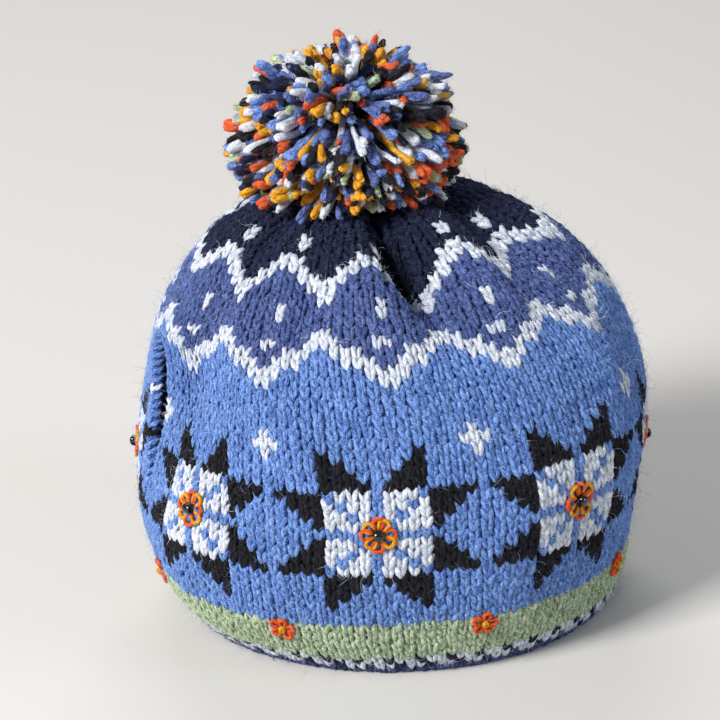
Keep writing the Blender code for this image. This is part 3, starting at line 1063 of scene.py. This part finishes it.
def makeBeads(places):
    # a bead is turned round its hole, which lies along the row
    around, across = daisies["beadSteps"]
    hole, radius = daisies["beadHole"], daisies["beadRadius"]
    turn = 2.0 * pi * np.arange(around) / around
    wall = 2.0 * pi * np.arange(across) / across
    middle, thick = (radius + hole) / 2.0, (radius - hole) / 2.0
    away = middle + thick * np.cos(wall)
    along = radius * daisies["beadLength"] * np.sin(wall) * np.clip(away / radius + 0.25, 0.0, 1.0)
    ring = np.stack((
        np.broadcast_to(along, (around, across)),
        away * np.sin(turn)[:, None],
        daisies["beadLift"] + away * np.cos(turn)[:, None],
    ), axis=-1).reshape(-1, 3)
    faces = [
        (a * across + b, ((a + 1) % around) * across + b, ((a + 1) % around) * across + (b + 1) % across,
         a * across + (b + 1) % across)
        for a in range(around) for b in range(across)
    ]
    points = fromCloth(np.array(places).T, np.repeat(ring[None], len(places), axis=0))
    return meshFromFaces("beads", points, faces, len(places))


daisyPieces, starPlaces = sewDaisies()
beadPiece = addPiece("beads", makeBeads(starPlaces), beadMaterial())
closeSeams(beadPiece)
print("daisies and beads sewn on")


# stray wool: long curled hairs that stand out, and short fibres that lie over the stitches
hairs = {
    "count": 3000,
    "stations": 6,
    "reach": (3.0, 10.0),  # mm
    "width": 0.034,
    "curl": 0.55,
    "waver": 0.16,
    "stand": 0.55,
    "paler": 0.45,  # how far a hair's colour goes to the pale one
    "pale": (214, 224, 246),
    "darkShare": 0.40,  # and how much less a dark hair's does
    "belowCrown": 0.55,  # this share of the hairs is spread evenly from crownReach down
    "crownReach": 40.0,
    "hemGap": 3.0,
    "clear": 0.25,
    "rootLift": -0.4,
    "sides": 3,
    "bloomCount": 35000,
    "bloomReach": (1.2, 3.8),
    "bloomWidth": 0.062,
    "bloomRise": 0.60,
    "bloomRoots": (-0.35, 0.45),
    "bloomPaler": 0.75,
    "seed": 41,
}

hairColours = {
    "sky": (150, 184, 244), "slate": (122, 138, 198), "navy": (56, 62, 96), "white": (244, 246, 252),
    "black": (60, 58, 66), "green": (212, 226, 190), "denim": (98, 114, 170),
}


def hairMaterial():
    material, tree, shader = newMaterial("looseWool")
    tint = Sock(tree, attribute(tree, "tint").outputs["Color"])
    place = Sock(tree, tint.node("ShaderNodeTexCoord").outputs["Object"])
    shade = noise(tint, place, 500.0) * 0.4 + 0.8
    tree.links.new(shade.times(tint).socket, shader.inputs["Base Color"])
    setInputs(shader, {"Roughness": 0.9, "Specular IOR Level": 0.1})
    return material


looseWool = hairMaterial()


def scatterOver(number, chance):
    # over the crown there are more hairs where it is wider
    run = length * np.sqrt(chance.random(number)) * 0.999
    below = chance.random(number) < hairs["belowCrown"]
    run = np.where(below, chance.uniform(hairs["crownReach"], length - hairs["hemGap"], number), run)
    angle = chance.uniform(-180.0, 180.0, number)
    return angle, run, np.where(angle > 0.0, 1.0, -1.0)


def woolColours(angle, run, paler, chance):
    # each hair is as the yarn it comes from, and a little paler
    colours = []
    for here, down in zip(angle, run):
        row = int((length - down) / knitting["rowHeight"])
        count = stitchCount(row)
        column = int((here + 180.0) / 360.0 * count) % count
        colours.append(rgb(*hairColours[yarnAt(row, column, count)]))
    colours = np.array(colours)
    share = chance.uniform(0.0, paler, (len(colours), 1)) ** 2
    share *= np.clip(colours[:, :3].mean(axis=1, keepdims=True) * 4.0, hairs["darkShare"], 1.0)
    return colours + (np.array(rgb(*hairs["pale"])) - colours) * share


def hairPiece(name, points, faces, colours):
    number, each = points.shape[:2]
    mesh = meshFromFaces(name, points.reshape(-1, 3), faces, number)
    tint = mesh.color_attributes.new("tint", "FLOAT_COLOR", "POINT")
    tint.data.foreach_set("color", np.repeat(colours, each, axis=0).astype(np.float32).ravel())
    return addPiece(name, mesh, looseWool)


def teaseHairs():
    chance = np.random.default_rng(hairs["seed"])
    number, stations = hairs["count"], hairs["stations"]
    angle, run, side = scatterOver(number, chance)
    reach = chance.uniform(*hairs["reach"], (number, 1))
    heading = unit(chance.normal(0.0, 1.0, (number, 3)) + np.array((0.0, 0.0, hairs["stand"])))
    # a hair keeps turning the same way, so it curls
    axis = unit(chance.normal(0.0, 1.0, (number, 3)))
    steps = []
    for _ in range(stations - 1):
        turned = heading + np.cross(axis, heading) * hairs["curl"]
        heading = unit(turned + chance.normal(0.0, hairs["waver"], (number, 3)))
        steps.append(heading * reach / (stations - 1))
    path = np.zeros((number, stations, 3))
    path[:, 1:] = np.cumsum(np.array(steps), axis=0).transpose(1, 0, 2)
    path[..., 2] = np.abs(path[..., 2]) + hairs["clear"]
    path[:, 0, 2] = hairs["rootLift"]
    up = np.broadcast_to(np.array((0.0, 0.0, 1.0)), path.shape)
    tubes = tubePoints(path, np.full((number, stations), hairs["width"]), up, hairs["sides"])
    points = fromCloth((angle, run, side), tubes).reshape(tubes.shape)
    colours = woolColours(angle, run, hairs["paler"], chance)
    return hairPiece("looseHairs", points, tubeFaces(stations - 2, hairs["sides"]), colours)


def spikePoints(roots, ends, width, chance):
    # thin three-sided fibres, closed at the root
    along = unit(ends - roots)
    side = unit(np.cross(along, chance.normal(0.0, 1.0, roots.shape)))
    other = np.cross(along, side)
    turn = 2.0 * pi * np.arange(3) / 3.0
    ring = side[:, None] * np.cos(turn)[:, None] + other[:, None] * np.sin(turn)[:, None]
    return np.concatenate((roots[:, None] + ring * width, ends[:, None]), axis=1)


spikeFaces = [(2, 1, 0), (0, 1, 3), (1, 2, 3), (2, 0, 3)]


def brushBloom():
    # short fibres raised by handling, most of them lying close to the stitches
    chance = np.random.default_rng(hairs["seed"] + 1)
    number = hairs["bloomCount"]
    places = scatterOver(number, chance)
    heading = unit(chance.normal(0.0, 1.0, (number, 3)) * np.array((1.0, 1.0, hairs["bloomRise"])))
    heading[:, 2] = np.abs(heading[:, 2])
    roots = np.zeros((number, 3))
    roots[:, 2] = chance.uniform(*hairs["bloomRoots"], number)
    ends = roots + heading * chance.uniform(*hairs["bloomReach"], (number, 1))
    spikes = spikePoints(roots, ends, hairs["bloomWidth"], chance)
    points = fromCloth(places, spikes).reshape(spikes.shape)
    return hairPiece("woolBloom", points, spikeFaces, woolColours(*places[:2], hairs["bloomPaler"], chance))


loosePieces = [teaseHairs(), brushBloom()]
print("wool teased")


# the pompom: cut ends of wool round a tied core
pompom = {
    "centre": (-17.3, 9.4, 176.3),  # mm
    "half": (42.5, 42.5, 37.0),
    "strands": 1250,
    "ends": (0.85, 1.05),
    "strays": 0.03,  # share of strands that were cut too long, and by how much
    "strayLength": 0.10,
    "droop": 15.0,  # mm that strands come from above their places
    "pressed": 0.35,  # how flat the cover presses the lowest strands
    "pressFrom": 0.2,  # from this share of their length out
    "lowest": -0.80,
    "crownMiddle": (-11.5, 7.9),  # of the cover under it
    "clear": 2.0,
    "scatter": 0.30,  # how far a strand points away from its place
    "sweep": 0.26,  # how far whole tufts lean together
    "tufts": 6,
    "tuftWaves": 3.2,
    "bend": 11.0,  # mm that a strand strays sideways
    "curl": 2.6,
    "width": (1.30, 2.00),  # half thickness of a strand, in mm
    "sides": 5,
    "plies": 2,  # each strand is spun of these, and they part at its cut end
    "plyWidth": 0.78,
    "plySpread": (0.30, 0.46),
    "plyTurns": 0.55,
    "plyLonger": 0.9,
    "plySizes": (0.86, 1.14),
    "loft": 0.60,  # cut wool is brushed smoother than knitted wool
    "fuzzPerEnd": 30,
    "fuzzReach": (0.6, 3.4),
    "fuzzWidth": 0.055,
    "fuzzShort": 2.2,  # the larger, the more of the hairs are short ones
    "fuzzAtTip": 0.45,  # the smaller, the more of them are at the cut end
    "fuzzAhead": 0.9,
    "fuzzRoot": 0.75,  # it starts this share of the strand's half thickness from its middle
    "fuzzTones": (-0.6, 2.4),
    "roughness": 0.035,
    "patches": 260,
    "patchShare": 0.38,
    "seed": 5,
}

# share of the strands, and their wool: painted lit and shaded colour, unevenness of the dye and sheen
cutWools = {
    "sky": (0.140, (140, 168, 228), (56, 80, 142), 1.0, 0.4),
    "slate": (0.140, (116, 134, 194), (42, 54, 100), 1.0, 0.4),
    "navy": (0.070, (50, 55, 88), (14, 16, 30), 1.0, 0.1),
    "black": (0.120, (46, 44, 50), (13, 12, 15), 1.0, 0.1),
    "white": (0.160, (236, 239, 243), (168, 174, 188), 0.6, 0.4),
    "gold": (0.150, (248, 188, 64), (186, 114, 22), 1.0, 0.4),
    "orange": (0.120, (236, 116, 72), (168, 54, 26), 1.0, 0.4),
    "green": (0.060, (206, 220, 186), (114, 132, 96), 1.0, 0.4),
}

# along a strand: how far out, and its thickness
strandShape = np.array((
    (0.300, 0.00), (0.560, 0.80), (0.780, 0.95), (0.905, 1.10), (0.962, 1.06), (0.993, 0.70), (1.0, 0.0),
))


def spreadOverBall(count, lowest):
    # even spiral over a ball, from the top down to the lowest height
    index = np.arange(count) + 0.5
    height = 1.0 - index / count * (1.0 - lowest)
    turn = index * pi * (3.0 - 5.0 ** 0.5)
    away = np.sqrt(1.0 - height * height)
    return np.stack((away * np.cos(turn), away * np.sin(turn), height), axis=-1)


def strandPaths(chance):
    count = pompom["strands"]
    outward = spreadOverBall(count, pompom["lowest"])
    tufts = pompom["tufts"]
    waves = chance.normal(0.0, pompom["tuftWaves"], (tufts, 3))
    sway = np.sin(outward @ waves.T + chance.uniform(0.0, 2.0 * pi, tufts))
    sway = sway @ unit(chance.normal(0.0, 1.0, (tufts, 3)))
    lean = chance.normal(0.0, pompom["scatter"], (count, 3)) + sway * pompom["sweep"] / 2.0
    outward = unit(outward + lean)
    low = outward[:, 2] < 0.0
    pressed = outward.copy()
    pressed[low, 2] *= pompom["pressed"]
    pressed = unit(pressed)
    shares = strandShape[:, 0]
    ends = chance.uniform(*pompom["ends"], count)
    ends += pompom["strayLength"] * (chance.random(count) < pompom["strays"])
    ends = ends[:, None] * shares
    start = pompom["pressFrom"]
    blend = np.clip((shares - start) / (1.0 - start), 0.0, 1.0)[None, :, None]
    direction = outward[:, None] * (1.0 - blend) + pressed[:, None] * blend
    path = np.array(pompom["centre"]) + direction * np.array(pompom["half"]) * ends[..., None]
    path[..., 2] += pompom["droop"] * (1.0 - shares)
    stray = chance.normal(0.0, 1.0, (count, 3))
    stray = unit(stray - (stray * outward).sum(-1, keepdims=True) * outward)
    fromRoot = shares - shares[0]
    bend = chance.uniform(0.0, pompom["bend"], (count, 1)) * fromRoot ** 2
    path += stray[:, None] * bend[..., None]
    other = np.cross(stray, outward)
    curl = np.sin(2.0 * pi * fromRoot / fromRoot[-1] + chance.uniform(0.0, 2.0 * pi, (count, 1)))
    path += other[:, None] * (curl * chance.uniform(0.0, pompom["curl"], (count, 1)))[..., None]
    path[..., 2] = np.maximum(path[..., 2], crownUnder(path) + pompom["clear"])
    return path, outward


def crownUnder(path):
    # height of the cover's crown under each point, down to where the cover is widest
    middle = pompom["crownMiddle"]
    away = np.hypot(path[..., 0] - middle[0], path[..., 1] - middle[1])
    crown = profile[:profile[:, 0].argmax() + 1]
    return np.interp(away, crown[:, 0], crown[:, 1])


def spinPlies(path, radii, chance):
    # the plies wind round the strand's own line: strands x plies, then stations
    count, stations = radii.shape
    along = unit(np.gradient(path, axis=1))
    side = unit(np.cross(along, np.broadcast_to(unit(chance.normal(0.0, 1.0, (count, 1, 3))), path.shape)))
    other = np.cross(along, side)
    shares = np.linspace(0.0, 1.0, stations)
    near, far = pompom["plySpread"]
    spread = radii.max(axis=1, keepdims=True) * (near + (far - near) * shares ** 3)
    start = chance.uniform(0.0, 2.0 * pi, (count, 1))
    paths, widths = [], []
    for ply in range(pompom["plies"]):
        turn = start + 2.0 * pi * (ply / pompom["plies"] + pompom["plyTurns"] * shares)
        away = side * np.cos(turn)[..., None] + other * np.sin(turn)[..., None]
        longer = chance.uniform(-1.0, 1.0, (count, 1)) * pompom["plyLonger"] * shares ** 4
        paths.append(path + away * spread[..., None] + along * longer[..., None])
        widths.append(radii * pompom["plyWidth"] * chance.uniform(*pompom["plySizes"], (count, 1)))
    return np.stack(paths, axis=1), np.stack(widths, axis=1)


def makePompom():
    chance = np.random.default_rng(pompom["seed"])
    strandPath, outward = strandPaths(chance)
    strandRadii = strandShape[:, 1] * chance.uniform(*pompom["width"], (len(strandPath), 1))
    path, radii = spinPlies(strandPath, strandRadii, chance)
    path, radii = path.reshape(-1, *path.shape[2:]), radii.reshape(-1, radii.shape[2])
    count, sides = len(path), pompom["sides"]
    up = np.broadcast_to(np.array((0.3, 0.2, 1.0)), path.shape)
    points = tubePoints(path, radii, up, sides)
    middles = np.concatenate((path[:, :1], np.repeat(path[:, 1:-1], sides, axis=1), path[:, -1:]), axis=1)
    points = middles + (points - middles) * chance.normal(1.0, pompom["roughness"], (*points.shape[:2], 1))
    marks = yarnMarks(path, sides)
    toneAndShade = np.repeat(chance.uniform(0.0, 1.0, (count, 1)), points.shape[1], axis=1)
    # wool wound on in turn lies in small patches of one colour
    weights = np.array([dye[0] for dye in cutWools.values()])
    seeds = unit(chance.normal(0.0, 1.0, (pompom["patches"], 3)))
    patchNames = chance.choice(len(weights), len(seeds), p=weights / weights.sum())
    nearest = (outward @ seeds.T).argmax(axis=1)
    own = chance.choice(len(weights), len(outward), p=weights / weights.sum())
    chosen = np.where(chance.random(len(outward)) < pompom["patchShare"], patchNames[nearest], own)
    pieces = []
    for index, (yarn, dye) in enumerate(cutWools.items()):
        material = woolMaterial(f"{yarn}CutWool", *dye[1:], loft=pompom["loft"])
        strands = chosen == index
        ours = np.repeat(strands, pompom["plies"])
        number = int(ours.sum())
        batch = (points[ours].reshape(-1, 3) * mm, marks[ours].reshape(-1, 3), toneAndShade[ours].ravel(), number)
        pieces.append(tubePiece(f"{yarn}Strands", [batch], material, sides))
        fuzz = strandFuzz(f"{yarn}Fuzz", strandPath[strands], strandRadii[strands], material, chance)
        pieces.append(fuzz)
    return pieces


def strandFuzz(name, path, radii, material, chance):
    # fine hairs brushed out of the cut end and out of the strand below it
    each = pompom["fuzzPerEnd"]
    count = len(path)
    tip, before = path[:, -2], path[:, -5]
    along = unit(path[:, -1] - path[:, -4])
    spot = chance.random((count, each, 1)) ** pompom["fuzzAtTip"]
    roots = tip[:, None] * spot + before[:, None] * (1.0 - spot)
    scatter = unit(chance.normal(0.0, 1.0, (count, each, 3)) + along[:, None] * pompom["fuzzAhead"])
    roots = roots + scatter * radii[:, 3, None, None] * pompom["fuzzRoot"]
    short, long = pompom["fuzzReach"]
    reach = short + (long - short) * chance.random((count, each, 1)) ** pompom["fuzzShort"]
    ends = roots + scatter * reach
    points = spikePoints(roots.reshape(-1, 3), ends.reshape(-1, 3), pompom["fuzzWidth"], chance) * mm
    number = count * each
    mesh = meshFromFaces(name, points.reshape(-1, 3), spikeFaces, number)
    marks = np.zeros((number * 4, 3))
    marks[:, 1] = 1.0
    addMarks(mesh, marks, np.repeat(chance.uniform(*pompom["fuzzTones"], number), 4))
    return addPiece(name, mesh, material)


pompomPieces = makePompom()
print("pompom cut")


# stage, lights and camera
stage = {
    "floorSize": 8.0,  # m
    "azimuth": -20.0,  # of the camera, in degrees
    "elevation": 20.5,
    "distance": 0.870,  # m
    "target": (0.0, 0.0, 0.0889),
    "lightTarget": (0.0, 0.0, 0.08),
    "lens": 115.135,
    "shift": (-38.3 / 720.0, 10.0 / 720.0),
    "floor": (214, 210, 205),
    "sky": (235, 236, 240),
    "skyStrength": 0.30,
}

# place, size in metres, watts and colour
lights = {
    "keyLight": ((-2.15, -1.00, 1.70), 0.80, 108.0, (1.0, 1.0, 1.0)),
    "fillLight": ((2.10, -1.60, 1.30), 1.2, 19.0, (0.74, 0.88, 1.0)),
    "backLight": ((0.5, 2.2, 2.0), 1.6, 28.0, (1.0, 1.0, 1.0)),
}


def makeStage():
    bpy.ops.object.select_all(action="DESELECT")
    bpy.ops.mesh.primitive_plane_add(size=stage["floorSize"], location=(0.0, 0.0, 0.0))
    floor = bpy.context.active_object
    floor.name = "floor"
    material, _, shader = newMaterial("paleFloor")
    setInputs(shader, {"Base Color": rgb(*stage["floor"]), "Roughness": 0.7})
    floor.data.materials.append(material)
    world = bpy.data.worlds.new("studio")
    world.use_nodes = True
    setInputs(world.node_tree.nodes["Background"],
              {"Color": rgb(*stage["sky"]), "Strength": stage["skyStrength"]})
    bpy.context.scene.world = world
    bpy.context.scene.view_settings.view_transform = "Standard"


def addLight(name, place, size, power, colour):
    target = Vector(stage["lightTarget"])
    data = bpy.data.lights.new(name, "AREA")
    data.color = colour
    data.size = size
    data.energy = power
    light = bpy.data.objects.new(name, data)
    light.location = place
    light.rotation_euler = (target - Vector(place)).to_track_quat("-Z", "Y").to_euler()
    bpy.context.scene.collection.objects.link(light)


def makeCamera():
    azimuth, elevation = radians(stage["azimuth"]), radians(stage["elevation"])
    back = Vector((sin(azimuth) * cos(elevation), -cos(azimuth) * cos(elevation), sin(elevation)))
    data = bpy.data.cameras.new("camera")
    camera = bpy.data.objects.new("camera", data)
    bpy.context.scene.collection.objects.link(camera)
    camera.location = Vector(stage["target"]) + back * stage["distance"]
    camera.rotation_euler = (-back).to_track_quat("-Z", "Y").to_euler()
    data.sensor_width = 36.0
    data.lens = stage["lens"]
    data.shift_x, data.shift_y = stage["shift"]
    data.clip_start = 0.01
    bpy.context.scene.camera = camera


makeStage()
for name, settings in lights.items():
    addLight(name, *settings)
makeCamera()
print("stage set")

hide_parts("knitted_cover")
for piece in pompomPieces:
    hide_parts("pompom")
print("pieces placed")
